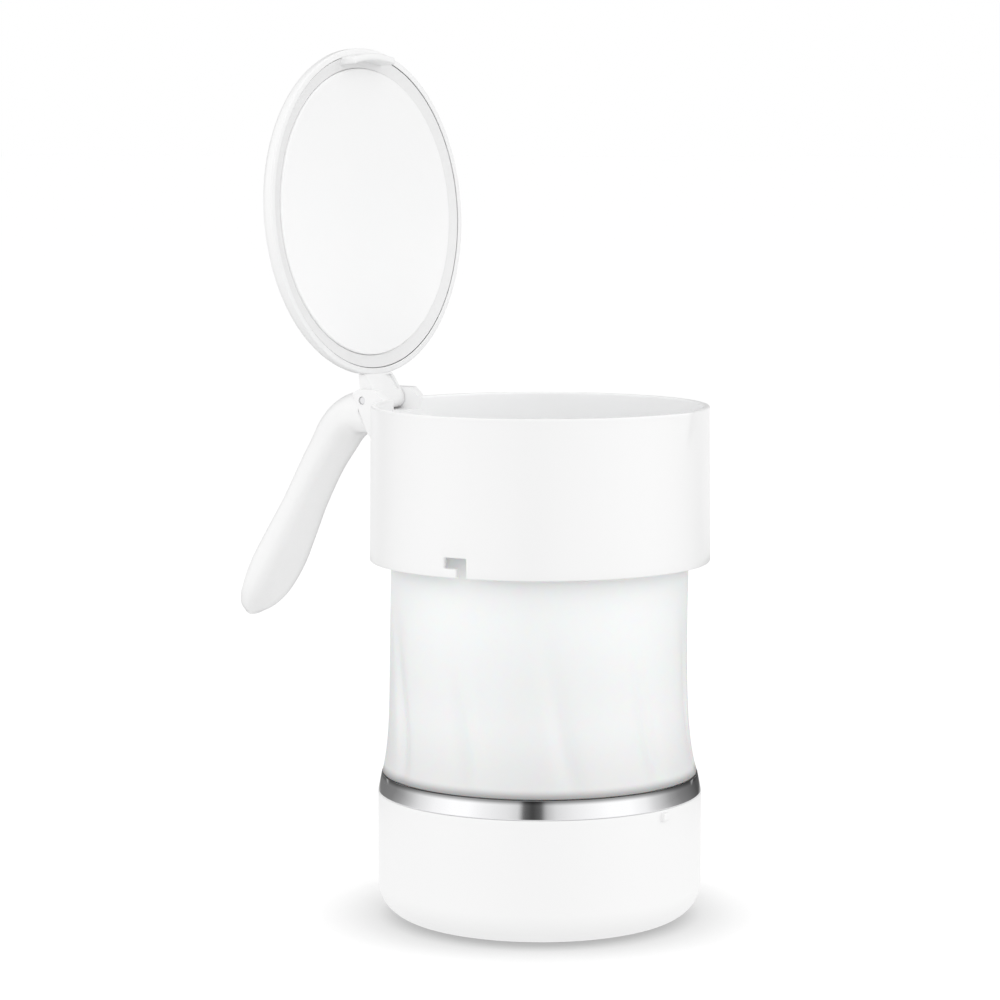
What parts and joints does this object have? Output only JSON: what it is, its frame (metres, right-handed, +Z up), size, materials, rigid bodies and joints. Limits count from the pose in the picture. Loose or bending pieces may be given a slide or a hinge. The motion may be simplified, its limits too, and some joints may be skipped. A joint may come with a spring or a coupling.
{
  "type": "paw washer cup",
  "caption": "Collapsible paw washer cup with a flip lid, pouring lip, open handle, pleated silicone sleeve and a lift-out bristle insert.",
  "frame": {"origin": "middle of the base pad's underside, on the cup's axis, at the level of the surface it stands on", "axes": "+Z up the cup's axis; +X towards the pouring lip, so the hinge and the handle are towards -X; +Y to the left of someone looking from the handle to the lip"},
  "size_m": [0.1984, 0.125, 0.3205],
  "materials": {
    "white_plastic": "smooth moulded, soft sheen",
    "inner_plastic": "smooth moulded",
    "insert_plastic": "smooth moulded",
    "sleeve_silicone": "satin translucent silicone",
    "bristle_silicone": "satin silicone",
    "seal_silicone": "satin silicone",
    "pad_rubber": "matt",
    "chrome": "polished",
    "steel": "plain"
  },
  "bodies": {
    "base": {"base_shell": "white_plastic", "base_bowl": "inner_plastic", "base_cover": "inner_plastic", "base_screws": "steel", "base_pad": "pad_rubber", "chrome_band": "chrome", "lower_clamp_ring": "inner_plastic", "sleeve": "sleeve_silicone"},
    "carrier": {"upper_clamp_ring": "inner_plastic"},
    "collar": {"collar_shell": "white_plastic", "support_ring": "inner_plastic", "insert_holder": "insert_plastic", "bristle_sleeve": "bristle_silicone", "bristles": "bristle_silicone", "hinge_pin": "steel", "handle_body": "white_plastic", "handle_strip": "white_plastic", "handle_screws": "steel"},
    "lid": {"lid_shell": "white_plastic", "lid_disc": "inner_plastic", "lid_seal": "seal_silicone"}
  },
  "joints": [
    {"name": "collapse_slide", "type": "slide", "parent": "base", "child": "carrier", "axis": [0, 0, -1], "range_m": [0, 0.085], "deforming": ["sleeve"]},
    {"name": "collar_twist", "type": "hinge", "parent": "carrier", "child": "collar", "pos_m": [0, 0, 0.1572], "axis": [0, 0, 1], "range_deg": [-0.5, 75.5]},
    {"name": "lid_hinge", "type": "hinge", "parent": "collar", "child": "lid", "pos_m": [-0.0706, 0, 0.18865], "axis": [0, 1, 0], "range_deg": [0, 93.5]}
  ],
  "couplings": [
    {"joint": "collar_twist", "follows": "collapse_slide", "rad_per_m": 15.338}
  ]
}
